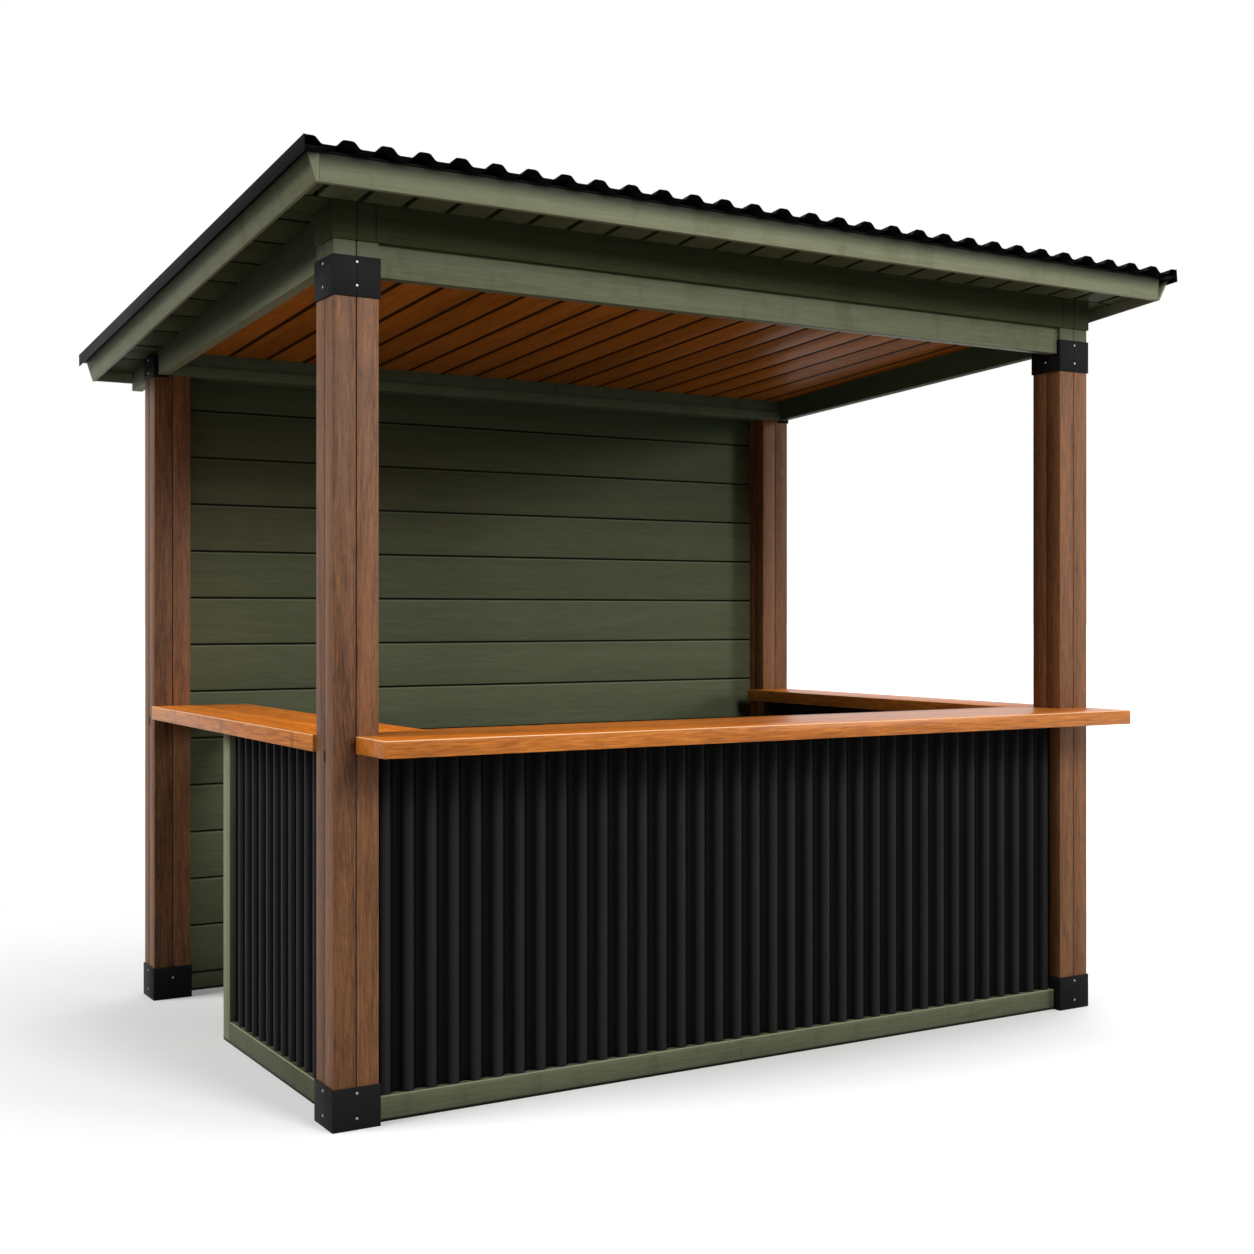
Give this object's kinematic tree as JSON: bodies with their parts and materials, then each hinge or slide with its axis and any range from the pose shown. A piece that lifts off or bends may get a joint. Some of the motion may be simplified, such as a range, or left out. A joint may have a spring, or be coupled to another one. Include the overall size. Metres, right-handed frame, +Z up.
{
  "type": "wooden market stall",
  "caption": "Open-fronted timber market stall: mono-pitch roof on steel-shod posts, boarded back wall, and a wooden counter on three sides over corrugated panels.",
  "frame": {"origin": "centre of the roof plan, on the ground under the boots", "axes": "+Z up, -Y towards the long serving front, +X to the right of a customer who looks at the front"},
  "size_m": [3.026, 2.3429, 2.4763],
  "materials": {
    "post_wood": "brown stain, satin",
    "steel_plate": "matt black powder coat",
    "olive_paint": "matt olive green paint on boards",
    "ceiling_wood": "brown-orange stain, satin",
    "deck_board": "plain plywood",
    "black_sheet": "satin black coated steel",
    "counter_wood": "orange-brown oil, satin"
  },
  "bodies": {
    "root": {"front_left_post": "post_wood", "front_right_post": "post_wood", "back_left_post": "post_wood", "back_right_post": "post_wood", "front_rail": "steel_plate", "left_rail": "steel_plate", "right_rail": "steel_plate", "front_left_boot": "steel_plate", "front_right_boot": "steel_plate", "back_left_boot": "steel_plate", "back_right_boot": "steel_plate", "front_left_collar": "steel_plate", "front_right_collar": "steel_plate", "back_left_collar": "steel_plate", "back_right_collar": "steel_plate", "front_header": "olive_paint", "front_top_plate": "olive_paint", "left_side_beam": "olive_paint", "right_side_beam": "olive_paint", "back_header": "olive_paint", "front_soffit": "olive_paint", "left_soffit": "olive_paint", "right_soffit": "olive_paint", "back_soffit": "olive_paint", "front_fascia": "olive_paint", "back_fascia": "olive_paint", "left_barge": "olive_paint", "right_barge": "olive_paint", "back_wall": "olive_paint", "back_sill": "olive_paint", "front_sill": "olive_paint", "left_sill": "olive_paint", "right_sill": "olive_paint", "left_end_stud": "olive_paint", "ceiling_boards": "ceiling_wood", "roof_deck": "deck_board", "roof_sheet": "black_sheet", "left_verge_trim": "black_sheet", "right_verge_trim": "black_sheet", "front_cladding": "black_sheet", "left_cladding": "black_sheet", "right_cladding": "black_sheet", "front_counter": "counter_wood", "left_counter": "counter_wood", "right_counter": "counter_wood"}
  },
  "joints": []
}
